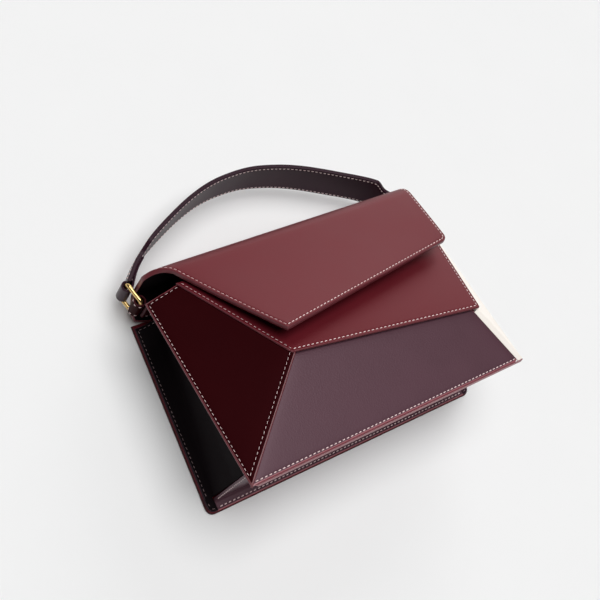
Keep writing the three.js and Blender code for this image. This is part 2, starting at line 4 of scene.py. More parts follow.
import bmesh
import bpy
import numpy as np
from mathutils import Matrix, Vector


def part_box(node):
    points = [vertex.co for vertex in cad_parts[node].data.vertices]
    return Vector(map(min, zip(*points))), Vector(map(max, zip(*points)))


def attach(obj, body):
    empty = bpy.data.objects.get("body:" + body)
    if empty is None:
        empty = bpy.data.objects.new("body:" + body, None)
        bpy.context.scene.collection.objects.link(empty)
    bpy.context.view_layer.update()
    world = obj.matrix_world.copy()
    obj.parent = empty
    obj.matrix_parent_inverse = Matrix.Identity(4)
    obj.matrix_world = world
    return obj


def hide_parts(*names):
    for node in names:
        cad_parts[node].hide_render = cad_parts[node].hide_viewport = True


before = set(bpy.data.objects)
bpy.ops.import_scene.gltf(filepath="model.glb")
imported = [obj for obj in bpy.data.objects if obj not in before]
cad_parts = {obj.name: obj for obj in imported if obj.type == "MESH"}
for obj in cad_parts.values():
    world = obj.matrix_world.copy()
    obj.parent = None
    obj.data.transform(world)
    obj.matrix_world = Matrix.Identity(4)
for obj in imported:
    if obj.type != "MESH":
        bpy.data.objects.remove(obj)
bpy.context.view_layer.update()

# Bag frame: millimetres, X across the bag, Y from its bottom edge to its strap, Z up from the floor
back_low, back_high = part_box("back_panel")
BAG_ORIGIN = np.array([(back_low[0] + back_high[0]) / 2, back_low[1], back_low[2]])
MM = 0.001

# Leather thicknesses and the clearance between sewn pieces
CLEARANCE = 0.3
PANEL_T = 2.0
RIGHT_PANEL_T = 3.0
BACK_T = 3.0
FLAP_T = 3.6
GUSSET_T = 1.4
STRAP_T = 3.2
TAB_T = 1.6

# Finish of every cut edge: rolled round, then painted
EDGE_R = 0.7
SOFT_EDGE_WIDTH = 6
SOFT_EDGE_DROP = 0.9
PAINT_WIDTH = 0.5
EDGE_BULGE = 0.12
EDGE_STEPS = (0, 0.1, 0.3, 0.6, 1.0, 1.6, 2.1, 2.5, 2.8, 3.2, 3.8, 5.5, 9)
SWELL = 0.3
SWELL_REACH = 7

# Seams: thread lies in a pressed groove a little way in from the edge
SEAM_INSET = 2.1
SEAM_DEPTH = 0.2
SEAM_WIDTH = 0.55
SEAM_END_GAP = 1.2
STITCH_PITCH = 3.5
STITCH_LENGTH = 2.3
STITCH_R = 0.36
FINE_STITCH_R = 0.16
STITCH_SLANT = 0.1
STITCH_RINGS = ((-0.5, -1.3, 0.5), (-0.36, 0.3, 0.9), (0, 0.9, 1.0), (0.36, 0.3, 0.9), (0.5, -1.3, 0.5))
STITCH_SIDES = 6

# Folded front: how far each panel's outer face stands above the folded surface
FRONT_RISE = {"left": 4.6, "lower": 3.3, "right": 3.0, "upper": 5.9}
SEAM_LAP = 8
SEAM_LAP_T = 1.0
MIN_TURN = 0.02

# Back panel, gussets and base
BACK_HALF_BOTTOM = 125
BACK_HALF_TOP = 116.4
BACK_HEIGHT = 150
BACK_CORNER_R = 6
FLANGE_MARGIN = 1.0
FRONT_MARGIN = 0.2
FLANGE_ROOT = 8
FLANGE_DROP = {"left": 0.5, "right": 1.3}
BASE_Y = 10
GUSSET_BOTTOM_Y = 11.3
GUSSET_TOP_Y = 147
GUSSET_FOLD = 13
GUSSET_FLAT_LOW = 12
GUSSET_FLAT_HIGH = 42
GUSSET_FOOT_RISE = 6
GUSSET_FRONT_RISE = 12
GUSSET_BEND_R = 2.5
FLANGE_Z = BACK_T + CLEARANCE + GUSSET_T / 2

# Flap
FLAP_HALF = 113.6
FLAP_LAP_HALF = 101
FLAP_LAP_Y = 132
NECK_Y = 150
TOP_OUT_Y = 168
NECK_RISE_Z = 23
TOP_BEND_R = 14
TOP_BEND_Z = 56
TOP_SLOPE = 0.42
BEND_SLANT = 0.95
# The soft flap springs off the front by 5 mm more than its solid, toward the camera
SPRING = 5.0 * np.array([-0.49, -0.21, 0.85])
TIP = np.array([-54.0, 84.5, 102.8]) + SPRING
FLAP_CORNER = np.array([119.1, 108.1, 80.9]) + SPRING
FLAP_TOP_X = (-97.0, 123.0)
FLAP_TOP_LIFT = (1.5, -4.1)
LEAN = 0.33
FLAP_CORNER_R = 5
FLAP_MID_Z = BACK_T + CLEARANCE + FLAP_T / 2

# Strap: the line of its outer face on the floor, and the tongues that go round the rings
STRAP_WIDTH = 34
STRAP_MID_Z = 25
TONGUE_WIDTH = 19
TONGUE_T = 1.6
TONGUE = {
    -1: {"length": 25, "shoulder": 36, "back": 29},
    1: {"length": 18.5, "shoulder": 31, "back": 22},
}
STRAP_ROUTE = (
    (-116.4, 174.7), (-112.8, 178.3), (-106.5, 184.9), (-101.2, 189.7), (-86.1, 200.1), (-65.2, 211.3),
    (-44.6, 220.6), (-25.1, 226.8), (-7.1, 229.5), (15.3, 229.6), (40.0, 224.5), (59.5, 217.6),
    (88.1, 203.7), (117.0, 187.6), (128.7, 176.6), (132.6, 169.8), (134.0, 162.1),
)

# Rings and the strap's end loops: the left ring lies in line with the strap, the right one is swung out
RING_WIRE_R = 1.6
RING = {
    -1: {"outer": (-118.4, 170.9), "inner": (-114.6, 154.9), "loop": (-118.0, 170.4)},
    1: {"outer": (132.6, 157.4), "inner": (116.3, 156.4), "loop": (132.5, 158.0)},
}
RING_HALF_WIDTH = 11.5
RING_CORNER_R = 3
RING_SIDES = 20
LOOP_R = 4.5
LOOP_END = 350

# Tabs, on the right side; the left one is the mirror image
TAB_WIDTH = 19
TAB_CENTRE = np.array([114.2, 157.0])
TAB_R = 4.6
TAB_LOOP_T = 1.3
TAB_NECK = np.array([111.4, 151.6])
TAB_BEND_R = 3
HEM_TURN = {"out": 3, "over": 3.2, "under": 1}
TAB_TAIL_Y = 128
TAB_INSET = 2.0
TAB_LOOP_START = 245
TAB_LOOP_TURN = 352


# Materials
def linear(hex_colour):
    """Linear RGBA of an sRGB hex colour."""
    channels = [int(hex_colour[k:k + 2], 16) / 255 for k in (0, 2, 4)]
    return [c / 12.92 if c <= 0.04045 else ((c + 0.055) / 1.055) ** 2.4 for c in channels] + [1.0]


def add(tree, kind, inputs=None, **settings):
    """A node of a kind with its settings; an input is a value or a socket to link from."""
    node = tree.nodes.new(kind)
    for name, value in settings.items():
        setattr(node, name, value)
    for name, value in (inputs or {}).items():
        if isinstance(value, bpy.types.NodeSocket):
            tree.links.new(value, node.inputs[name])
        else:
            node.inputs[name].default_value = value
    return node


def new_material(name, **surface):
    """An empty material with a principled surface, and that surface's node."""
    material = bpy.data.materials.new(name)
    material.use_nodes = True
    tree = material.node_tree
    shader = tree.nodes["Principled BSDF"]
    for socket, value in surface.items():
        shader.inputs[socket.replace("_", " ")].default_value = value
    return material, tree, shader


def mottled(tree, shader, size_mm, light, dark):
    """Gives a surface two close tones in soft patches of a size."""
    place = add(tree, "ShaderNodeTexCoord").outputs["Object"]
    patches = add(tree, "ShaderNodeTexNoise", {"Vector": place, "Scale": 1 / (size_mm * MM), "Detail": 3.0})
    tone = add(tree, "ShaderNodeMix", {"Factor": patches.outputs["Fac"]}, data_type="RGBA")
    tone.inputs["A"].default_value = linear(dark)
    tone.inputs["B"].default_value = linear(light)
    tree.links.new(tone.outputs["Result"], shader.inputs["Base Color"])
    return place, patches.outputs["Fac"]


# Leather pores are 0.3 to 0.5 mm wide; they are drawn wider so that they show from this far
GRAIN_MM = 1.1
MOTTLE_MM = 26


def calf_leather(name, colour, deep, roughness, grain, specular, sheen):
    """Finished calf leather: dyed through, lightly mottled, fine pores under a pigmented satin top coat."""
    material, tree, shader = new_material(name, IOR=1.48)
    shader.inputs["Specular IOR Level"].default_value = specular
    shader.inputs["Specular Tint"].default_value = linear(sheen)
    place, patches = mottled(tree, shader, MOTTLE_MM, colour, deep)
    pores = add(tree, "ShaderNodeTexVoronoi", {"Vector": place, "Scale": 1 / (GRAIN_MM * MM)})
    gloss = add(tree, "ShaderNodeMapRange", {"Value": patches})
    gloss.inputs["To Min"].default_value = roughness - 0.04
    gloss.inputs["To Max"].default_value = roughness + 0.04
    tree.links.new(gloss.outputs["Result"], shader.inputs["Roughness"])
    relief = add(tree, "ShaderNodeBump", {"Height": pores.outputs["Distance"], "Strength": grain})
    relief.inputs["Distance"].default_value = 0.15 * MM
    tree.links.new(relief.outputs["Normal"], shader.inputs["Normal"])
    return material


def edge_paint(name, light, dark, specular=0.5):
    """Edge paint: two burnished coats of acrylic, smooth and satin, with slight brush waves."""
    material, tree, shader = new_material(name, IOR=1.49, Roughness=0.38, Specular_IOR_Level=specular)
    _, waves = mottled(tree, shader, 3, light, dark)
    relief = add(tree, "ShaderNodeBump", {"Height": waves, "Strength": 0.15})
    relief.inputs["Distance"].default_value = 0.2 * MM
    tree.links.new(relief.outputs["Normal"], shader.inputs["Normal"])
    return material


def sewing_thread(name, light, dark):
    """Bonded polyester thread: two plies twisted, matt with a faint sheen."""
    material, tree, shader = new_material(name, IOR=1.5, Roughness=0.6, Sheen_Weight=0.2)
    mottled(tree, shader, 0.8, light, dark)
    return material


def polished_brass(name, colour):
    """Polished brass wire under clear lacquer: warm, sharp highlights with a little wear haze."""
    material, tree, shader = new_material(name, Metallic=1.0, Base_Color=linear(colour))
    place = add(tree, "ShaderNodeTexCoord").outputs["Object"]
    wear = add(tree, "ShaderNodeTexNoise", {"Vector": place, "Scale": 1 / (4 * MM), "Detail": 4.0})
    haze = add(tree, "ShaderNodeMapRange", {"Value": wear.outputs["Fac"]})
    haze.inputs["To Min"].default_value = 0.22
    haze.inputs["To Max"].default_value = 0.34
    tree.links.new(haze.outputs["Result"], shader.inputs["Roughness"])
    return material


# Painted shade: the bag's left side lies in deep shade that these lights don't give, so shaded copies of
# its burgundy and dark plum are made darker to stand in for it
BURGUNDY = calf_leather("burgundy_calf_leather", "5b151e", "53131b", 0.45, 0.12, 0.65, "ff888f")
# Shaded copy of the burgundy: painted shade
SHADED_BURGUNDY = calf_leather("burgundy_calf_leather_painted_shade", "2c070a", "270609", 0.45, 0.1, 0.04, "ff888f")
PLUM = calf_leather("plum_calf_leather", "53353f", "4b2f38", 0.42, 0.45, 0.35, "ffe4ee")
DARK_PLUM = calf_leather("dark_plum_calf_leather", "2a1620", "23121a", 0.36, 0.2, 0.3, "e8b8d0")
LINING = calf_leather("dark_plum_lining_leather", "3a1e2b", "321924", 0.38, 0.2, 0.12, "e8b8d0")
# Shaded copy of the dark plum: painted shade
SHADED_DARK_PLUM = calf_leather("dark_plum_matt_leather_painted_shade", "140d10", "100a0d", 0.7, 0.3, 0.05, "ffffff")
CREAM = calf_leather("cream_calf_leather", "fbf5ee", "f7efe6", 0.45, 0.2, 0.4, "ffffff")
BURGUNDY_PAINT = edge_paint("burgundy_edge_paint", "6a2830", "60222a")
# Painted shade: the burgundy edge paint made darker, for the back panel's edges and the tabs
SHADED_BURGUNDY_PAINT = edge_paint("burgundy_edge_paint_painted_shade", "42161c", "3a1218", 0.12)
PLUM_PAINT = edge_paint("rosewood_edge_paint", "9a5860", "8e4f57")
DARK_PAINT = edge_paint("dark_plum_edge_paint", "341c28", "2c1721", 0.15)
CREAM_PAINT = edge_paint("cream_edge_paint", "d8cec5", "cec2b8")
THREAD = sewing_thread("rose_polyester_thread", "ffe8e6", "fbdcdb")
# Painted shade: the rose thread made darker, for the seams of the side walls
SHADED_THREAD = sewing_thread("rose_polyester_thread_painted_shade", "b39a9c", "a38a8d")
BRASS = polished_brass("polished_brass", "e2c080")


# Lines and grids of points, in bag millimetres
def smoothstep(value, start, end):
    """Share of the way from a start to an end, eased at both."""
    share = np.clip((np.asarray(value, float) - start) / (end - start), 0, 1)
    return share * share * (3 - 2 * share)


def run_of(points):
    """Distance along a line of points, from its start."""
    steps = np.linalg.norm(np.diff(points, axis=0), axis=1)
    return np.concatenate([[0], np.cumsum(steps)])


def along(points, shares):
    """Points at the given shares of a line's length."""
    points = np.asarray(points, float)
    run = run_of(points)
    at = np.asarray(shares) * run[-1]
    return np.stack([np.interp(at, run, column) for column in points.T], axis=1)


def rounded(points, radius, steps):
    """A line of points with its inner corners rounded."""
    points = np.asarray(points, float)
    line = [points[0]]
    for before, here, after in zip(points, points[1:], points[2:]):
        back, on = before - here, after - here
        reach = min(radius, 0.45 * np.linalg.norm(back), 0.45 * np.linalg.norm(on))
        start = here + back / np.linalg.norm(back) * reach
        end = here + on / np.linalg.norm(on) * reach
        for u in np.linspace(0, 1, steps + 1):
            line.append((1 - u) ** 2 * start + 2 * u * (1 - u) * here + u * u * end)
    line.append(points[-1])
    return np.array(line)


def smooth_line(points, count):
    """Centripetal curve through points, as evenly spaced points."""
    points = np.asarray(points, float)
    ends = [2 * points[0] - points[1], *points, 2 * points[-1] - points[-2]]
    line = []
    for a, b, c, d in zip(ends, ends[1:], ends[2:], ends[3:]):
        knots = np.cumsum([0] + [np.linalg.norm(q - p) ** 0.5 for p, q in ((a, b), (b, c), (c, d))])
        for t in np.linspace(knots[1], knots[2], 24, endpoint=False):
            low = [((knots[k + 1] - t) * p + (t - knots[k]) * q) / (knots[k + 1] - knots[k])
                   for k, (p, q) in enumerate(((a, b), (b, c), (c, d)))]
            mid = [((knots[k + 2] - t) * low[k] + (t - knots[k]) * low[k + 1]) / (knots[k + 2] - knots[k])
                   for k in (0, 1)]
            line.append(((knots[2] - t) * mid[0] + (t - knots[1]) * mid[1]) / (knots[2] - knots[1]))
    line.append(points[-1])
    return along(line, np.linspace(0, 1, count))


def spread(length, step):
    """Shares of a length, close together near both ends and a step apart between them."""
    rim = np.array([s for s in EDGE_STEPS if s < 0.4 * length])
    count = max(2, round((length - 2 * rim[-1]) / step) + 1)
    middle = np.linspace(rim[-1], length - rim[-1], count)[1:-1]
    return np.concatenate([rim, middle, (length - rim)[::-1]]) / length


def patch(bottom, top, left, right, step=9):
    """Grid of points inside four sides; bottom and top run left to right, left and right bottom to top."""
    us = spread(max(run_of(np.array(bottom))[-1], run_of(np.array(top))[-1]), step)
    vs = spread(max(run_of(np.array(left))[-1], run_of(np.array(right))[-1]), step)
    low, high, start, end = along(bottom, us), along(top, us), along(left, vs), along(right, vs)
    u, v = us[None, :, None], vs[:, None, None]
    ruled = (1 - v) * low[None] + v * high[None] + (1 - u) * start[:, None] + u * end[:, None]
    corners = (1 - v) * ((1 - u) * low[0] + u * low[-1]) + v * ((1 - u) * high[0] + u * high[-1])
    return ruled - corners


def round_corner(grid, row, col, radius):
    """Rounds a corner of a flat grid; row and col, 0 or -1, say which."""
    corner = grid[row, col].copy()
    sides = np.stack([grid[-1 - row, col] - corner, grid[row, -1 - col] - corner], axis=1)
    sides /= np.linalg.norm(sides, axis=0)
    inset = (grid - corner) @ np.linalg.pinv(sides).T
    short = radius - inset
    inside = (short > 0).all(axis=-1)
    pull = short.max(axis=-1) / np.maximum(np.linalg.norm(short, axis=-1), 1e-9)
    moved = corner + (radius - short * pull[..., None]) @ sides.T
    return np.where(inside[..., None], moved, grid)


def distance(points, line):
    """Shortest distance from each point to a line of points."""
    start, run = line[:-1], np.diff(line, axis=0)
    away = points[..., None, :] - start
    share = np.clip((away * run).sum(-1) / np.maximum((run * run).sum(-1), 1e-9), 0, 1)
    return np.linalg.norm(away - share[..., None] * run, axis=-1).min(-1)


# Leather pieces
FACE_LEATHER, EDGE_PAINT, INNER = range(3)
SIDES = {
    "bottom": (0, slice(None)),
    "top": (-1, slice(None)),
    "left": (slice(None), 0),
    "right": (slice(None), -1),
}


class Sheet:
    """Leather cut to a grid of points: columns run left to right and rows bottom to top, seen from outside.

    The grid lies below the outer face by a share of the thickness. Seams are the sides sewn along the
    edge, soft the sides whose edge is rolled wide instead of cut, and raw the sides left square and
    unpainted.
    """

    def __init__(self, grid, thickness, seams=(), soft=(), raw=(), share=0.0, inset=SEAM_INSET, swell=SWELL):
        grid = np.asarray(grid, float)
        normal = np.cross(np.gradient(grid, axis=1), np.gradient(grid, axis=0))
        normal /= np.linalg.norm(normal, axis=2, keepdims=True)
        self.normal = normal
        self.seams = seams
        self.inset = {side: inset for side in SIDES} if np.isscalar(inset) else inset
        self.gap = {side: distance(grid, grid[where]) for side, where in SIDES.items()}
        self.near = np.min(list(self.gap.values()), axis=0)
        painted = [gap for side, gap in self.gap.items() if side not in raw]
        self.unpainted = np.min(painted, axis=0) if painted else np.full(self.near.shape, PAINT_WIDTH)
        drop = np.zeros(self.near.shape)
        for side, gap in self.gap.items():
            if side in raw:
                continue
            if side in soft:
                fall = SOFT_EDGE_DROP * (1 - np.minimum(gap / SOFT_EDGE_WIDTH, 1)) ** 2
            else:
                radius = min(EDGE_R, 0.42 * thickness)
                short = radius - np.minimum(gap, radius)
                fall = radius - np.sqrt(radius ** 2 - short ** 2)
            drop = np.maximum(drop, fall)
        drop = np.minimum(drop, 0.45 * thickness)
        press = sum(
            SEAM_DEPTH * np.exp(-((self.gap[side] - self.inset[side]) / SEAM_WIDTH) ** 2) for side in seams)
        full = swell * (1 - np.exp(-self.near / SWELL_REACH))
        face = grid + normal * share * thickness
        self.outer = face + normal * np.asarray(full - press - drop)[..., None]
        self.inner = face - normal * np.asarray(thickness - press - drop)[..., None]

    def mesh(self):
        """Points, faces and a flag for each face that is painted edge."""
        rows, cols = self.near.shape
        index = np.arange(rows * cols).reshape(rows, cols)
        quads = np.stack([index[:-1, :-1], index[:-1, 1:], index[1:, 1:], index[1:, :-1]], axis=-1)
        quads = quads.reshape(-1, 4)
        bare = self.unpainted.reshape(-1)
        painted = np.where(bare[quads].mean(axis=1) < PAINT_WIDTH, EDGE_PAINT, FACE_LEATHER)
        rim = np.concatenate([index[0, :-1], index[:-1, -1], index[-1, :0:-1], index[:0:-1, 0]])
        outer, inner = self.outer.reshape(-1, 3), self.inner.reshape(-1, 3)
        travel = np.roll(outer[rim], -1, axis=0) - np.roll(outer[rim], 1, axis=0)
        out = np.cross(travel, self.normal.reshape(-1, 3)[rim])
        out /= np.linalg.norm(out, axis=1, keepdims=True)
        middle = (outer[rim] + inner[rim]) / 2 + EDGE_BULGE * out
        under = rows * cols
        mid = 2 * under + np.arange(len(rim))
        next_rim, next_mid = np.roll(rim, -1), np.roll(mid, -1)
        upper = np.stack([rim, mid, next_mid, next_rim], axis=1)
        lower = np.stack([mid, rim + under, next_rim + under, next_mid], axis=1)
        points = np.concatenate([outer, inner, middle])
        faces = np.concatenate([quads, quads[:, ::-1] + under, upper, lower])
        edge = np.where(np.maximum(bare[rim], bare[next_rim]) < PAINT_WIDTH, EDGE_PAINT, FACE_LEATHER)
        paint = np.concatenate([painted, np.where(painted == EDGE_PAINT, EDGE_PAINT, INNER), edge, edge])
        return points, faces, paint

    def seam(self, side, inner=False):
        """Line of the seam along a side, as points and normals, on the outer or inner face."""
        def inward(values):
            values = values if side in ("left", "right") else values.swapaxes(0, 1)
            return values[:, ::-1] if side in ("right", "top") else values

        face = self.inner if inner else self.outer
        facing = -self.normal if inner else self.normal
        gap, inset = inward(self.gap[side]), self.inset[side]
        others = {name: inward(values) for name, values in self.gap.items() if name != side}
        places, normals = inward(face), inward(facing)
        line = []
        for k in range(gap.shape[0]):
            past = int(np.argmax(gap[k] >= inset))
            if past == 0:
                continue
            share = (inset - gap[k, past - 1]) / (gap[k, past] - gap[k, past - 1])
            at = [(1 - share) * v[k, past - 1] + share * v[k, past] for v in (places, normals)]
            clear = []
            for name, v in others.items():
                margin = self.inset[name] if name in self.seams else SEAM_END_GAP
                clear.append((1 - share) * v[k, past - 1] + share * v[k, past] - margin)
            if min(clear) > -0.05:
                line.append(at)
        return np.array([p for p, _ in line]), np.array([n for _, n in line])


def mesh_object(name, points, faces, materials, paint=None):
    """A smooth mesh object in the row frame from points in bag millimetres."""
    data = bpy.data.meshes.new(name)
    data.from_pydata((BAG_ORIGIN + np.asarray(points) * MM).tolist(), [], [list(f) for f in faces])
    for material in materials:
        data.materials.append(material)
    if paint is not None:
        data.polygons.foreach_set("material_index", paint.astype(np.int32))
    data.polygons.foreach_set("use_smooth", np.ones(len(data.polygons), bool))
    data.validate()
    thing = bpy.data.objects.new(name, data)
    bpy.context.scene.collection.objects.link(thing)
    return thing


def leather_piece(node, sheets, leather, paint, lining=None):
    """One leather piece made of sheets, in place of its CAD node; a lining covers the inner faces."""
    points, faces, painted = [], [], []
    start = 0
    for sheet in sheets:
        p, f, flags = sheet.mesh()
        points.append(p)
        faces.append(f + start)
        painted.append(flags)
        start += len(p)
    piece = mesh_object(
        node + "_leather", np.concatenate(points), np.concatenate(faces),
        [leather, paint, lining or leather], np.concatenate(painted))
    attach(piece, "root")
    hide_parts(node)
    return piece


def sew(name, lines, thread=THREAD, radius=STITCH_R):
    """Stitches along lines of points and normals: each a short arched thread with its ends sunk."""
    points, faces = [], []
    start = 0
    angles = np.arange(STITCH_SIDES) * 2 * math.pi / STITCH_SIDES
    rings = np.array(STITCH_RINGS)
    for places, normals in lines:
        if len(places) < 2:
            continue
        run = run_of(places)
        count = max(1, int(run[-1] // STITCH_PITCH))
        at = ((np.arange(count) + 0.5) * run[-1] / count)[:, None] + rings[:, 0] * STITCH_LENGTH
        p = np.stack([np.interp(at, run, column) for column in places.T], axis=-1)
        n = np.stack([np.interp(at, run, column) for column in normals.T], axis=-1)
        n /= np.linalg.norm(n, axis=-1, keepdims=True)
        t = p[:, -1:] - p[:, :1]
        t = t / np.linalg.norm(t, axis=-1, keepdims=True)
        b = np.cross(n, np.broadcast_to(t, n.shape))
        slant = b * (rings[:, 0] * STITCH_LENGTH * STITCH_SLANT)[:, None]
        p = p + slant + n * (rings[:, 1] * radius)[:, None]
        size = radius * rings[:, 2]
        ring = (p[:, :, None] + b[:, :, None] * (np.cos(angles) * size[:, None])[..., None]
                + n[:, :, None] * (np.sin(angles) * size[:, None] * 0.8)[..., None])
        index = start + np.arange(count * len(rings) * STITCH_SIDES).reshape(count, len(rings), STITCH_SIDES)
        turn = np.roll(index, -1, axis=2)
        quads = np.stack([index[:, :-1], turn[:, :-1], turn[:, 1:], index[:, 1:]], axis=-1)
        points.append(ring.reshape(-1, 3))
        faces.extend(quads.reshape(-1, 4).tolist())
        faces.extend(index[:, 0, ::-1].tolist())
        faces.extend(index[:, -1].tolist())
        start += len(points[-1])
    stitches = mesh_object(name, np.concatenate(points), faces, [thread])
    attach(stitches, "root")
    return stitches


# Folded front
def turning(loop, normal):
    """Points of a closed line where it turns left; notches and points on a straight run are left out."""
    kept = list(loop)
    k = 0
    while k < len(kept):
        back, on = kept[k] - kept[k - 1], kept[(k + 1) % len(kept)] - kept[k]
        turn = np.cross(back, on) @ normal / (np.linalg.norm(back) * np.linalg.norm(on))
        if turn > MIN_TURN:
            k += 1
        else:
            kept.pop(k)
            k = 0
    return np.array(kept)


def outer_face(node):
    """Corners of a CAD panel's outer face in bag millimetres, anticlockwise from its lowest left one."""
    mesh = bmesh.new()
    mesh.from_mesh(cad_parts[node].data)
    bmesh.ops.remove_doubles(mesh, verts=mesh.verts, dist=0.01 * MM)
    bmesh.ops.dissolve_limit(mesh, angle_limit=math.radians(0.5), verts=mesh.verts, edges=mesh.edges)
    upward = [face for face in mesh.faces if face.normal.z > 0.3]
    face = max(upward, key=lambda f: f.calc_area())
    normal = np.array(face.normal)
    loop = (np.array([v.co for v in face.verts]) - BAG_ORIGIN) / MM
    mesh.free()
    loop = turning(loop, normal)
    first = int(np.argmin(loop[:, 0] + loop[:, 1]))
    return np.roll(loop, -first, axis=0), normal


FACE = {name: outer_face(name + "_panel") for name in ("left", "lower", "right", "upper")}

# Trim of the front that the solids leave out: laps over the ridges, and the bound rim over the base
UPPER_LAP = 1.4
UPPER_CORNER_R = 1.5
LOWER_CORNER_R = 4.5
PLUM_SET_BACK = 3.4
CREAM_STEP = 0.3
FRONT_EDGE_OUT = {0: 1.5, 1: 0.6}
FRONT_RIM = 3.7
RIM_FLARE = 1.3
RIM_T = 0.5
RIM_START = 0.014
BINDING = 1.2
LEFT_EDGE_PAINT = 1.0
RIDGE_LAP = {0: 1.0, 1: 2.8}
RIDGE_SEAM = 3.6


def front_panel(name, thickness, seams, round_at=(), radius=0, first=0, **finish):
    """A flat facet with four corners; its bottom side runs on from the first one."""
    a, b, c, d = np.roll(FACE[name][0], -first, axis=0)
    grid = patch([a, b], [d, c], [a, d], [b, c])
    for row, col in round_at:
        grid = round_corner(grid, row, col, radius)
    return Sheet(grid, thickness, seams=seams, **finish)


def set_back(name, back):
    """Moves a facet's right side back from the ridge, so that the leather beyond shows there."""
    corners, normal = FACE[name]
    moved = corners.copy()
    for near, far in ((1, 0), (2, 3)):
        run = corners[far] - corners[near]
        moved[near] += run / np.linalg.norm(run) * back
    FACE[name] = moved, normal


def overhang(name, out):
    """Moves the first corner's two sides of a facet outward, so that its edge laps its neighbours."""
    corners, normal = FACE[name]
    bottom = corners[1] - corners[0]
    left = corners[3] - corners[0]
    down = np.cross(bottom, normal) / np.linalg.norm(bottom)
    west = np.cross(normal, left) / np.linalg.norm(left)
    along_bottom, along_left = bottom / np.linalg.norm(bottom), left / np.linalg.norm(left)
    slope_left = out / (along_left @ -down)
    slope_bottom = out / (along_bottom @ -west)
    moved = corners.copy()
    moved[0] -= along_left * slope_left + along_bottom * slope_bottom
    moved[1] += down * out
    moved[3] += west * out
    FACE[name] = moved, normal


def lengthen_front():
    """Moves the front's bottom edge out over the base and the left panel's edge out over the ridge."""
    corners, normal = FACE["lower"]
    bottom = corners[1] - corners[0]
    down = np.cross(bottom, normal) / np.linalg.norm(bottom)
    moved = corners.copy()
    for corner, out in FRONT_EDGE_OUT.items():
        moved[corner] += down * out
    FACE["lower"] = moved, normal
    left, facing_left = FACE["left"]
    ridge = left[1] - left[0]
    beyond = np.cross(ridge, facing_left) / np.linalg.norm(ridge)
    left = left.copy()
    left[0] += down * FRONT_EDGE_OUT[0]
    for corner, out in RIDGE_LAP.items():
        left[corner] += beyond * out
    FACE["left"] = left, facing_left
    return down


def seam_lap(own, beyond, ends, depth=PANEL_T + CLEARANCE, trim=SEAM_LAP, width=SEAM_LAP, root=1.0):
    """Edge strip that turns over a ridge and lies under the panel beyond."""
    corners, _ = FACE[own]
    far, up = FACE[beyond]
    line = [corners[k] for k in ends]
    run = (line[1] - line[0]) / np.linalg.norm(line[1] - line[0])
    into = np.cross(up, run)
    into *= np.sign(into @ (far.mean(axis=0) - line[0]))
    start = [p - up * (up @ (p - far[0]) + depth) for p in line]
    low = [start[0] + run * trim, start[1] - run * trim]
    high = [p + into * width for p in low]
    low = [p - into * root for p in low]
    if np.cross(low[1] - low[0], high[0] - low[0]) @ up < 0:
        low, high = low[::-1], high[::-1]
    return Sheet(patch(low, high, [low[0], high[0]], [low[1], high[1]]), SEAM_LAP_T, raw=SIDES, swell=0)


def front_rim(low_rim, down):
    """Painted rim that hangs from the front's bottom edge over the base."""
    foot = low_rim - FACE["lower"][1] * FRONT_RIM + down * RIM_FLARE
    foot[0] += (low_rim[1] - low_rim[0]) * RIM_START
    grid = patch(foot, low_rim, [foot[0], low_rim[0]], [foot[1], low_rim[1]])
    rim = Sheet(grid, RIM_T, share=1.0, swell=0)
    rim.unpainted[:] = 0
    return rim


def make_front():
    """The four facets, each with its laps and stitches."""
    overhang("upper", UPPER_LAP)
    down = lengthen_front()
    insets = dict.fromkeys(SIDES, SEAM_INSET)
    insets["bottom"] = RIDGE_SEAM
    left = front_panel("left", PANEL_T, ("bottom", "top", "left"), inset=insets)
    low_rim = FACE["lower"][0][:2].copy()
    low_rim[0] += (low_rim[1] - low_rim[0]) * RIM_START
    rim = front_rim(low_rim, down)
    set_back("lower", PLUM_SET_BACK)
    lower = front_panel(
        "lower", PANEL_T, ("bottom",), soft=("top", "left", "right"), round_at=((0, -1), (-1, -1)),
        radius=LOWER_CORNER_R)
    left.unpainted += PAINT_WIDTH - LEFT_EDGE_PAINT
    lower.unpainted = np.minimum(lower.unpainted, lower.gap["bottom"] + PAINT_WIDTH - BINDING)
    right = front_panel("right", RIGHT_PANEL_T, (), raw=("bottom", "left"), first=3)
    upper = front_panel(
        "upper", PANEL_T, ("bottom", "left", "right"), round_at=((0, -1),), radius=UPPER_CORNER_R)
    # The left panel's burgundy is made darker here: painted shade
    leather_piece(
        "left_panel", [left, seam_lap("left", "upper", (1, 2))], SHADED_BURGUNDY, BURGUNDY_PAINT)
    leather_piece(
        "lower_panel", [lower, rim, seam_lap("lower", "upper", (2, 3)), seam_lap("lower", "left", (3, 0))],
        PLUM, PLUM_PAINT)
    strip = seam_lap("right", "lower", (3, 0), depth=CREAM_STEP, trim=1, width=PLUM_SET_BACK + 1, root=0.2)
    leather_piece(
        "right_panel", [right, seam_lap("right", "upper", (2, 3)), strip],
        CREAM, CREAM_PAINT)
    leather_piece("upper_panel", [upper], BURGUNDY, BURGUNDY_PAINT)
    sew("left_panel_stitches", [left.seam(side) for side in left.seams], radius=FINE_STITCH_R)
    sew("lower_panel_stitches", [lower.seam(side) for side in lower.seams])
    sew("upper_panel_stitches", [upper.seam("bottom"), upper.seam("right")])
    sew("upper_panel_fine_stitches", [upper.seam("left")], radius=FINE_STITCH_R)


# Back panel
def back_half(y):
    """Half the back panel's width at a height."""
    return BACK_HALF_BOTTOM + (BACK_HALF_TOP - BACK_HALF_BOTTOM) * y / BACK_HEIGHT


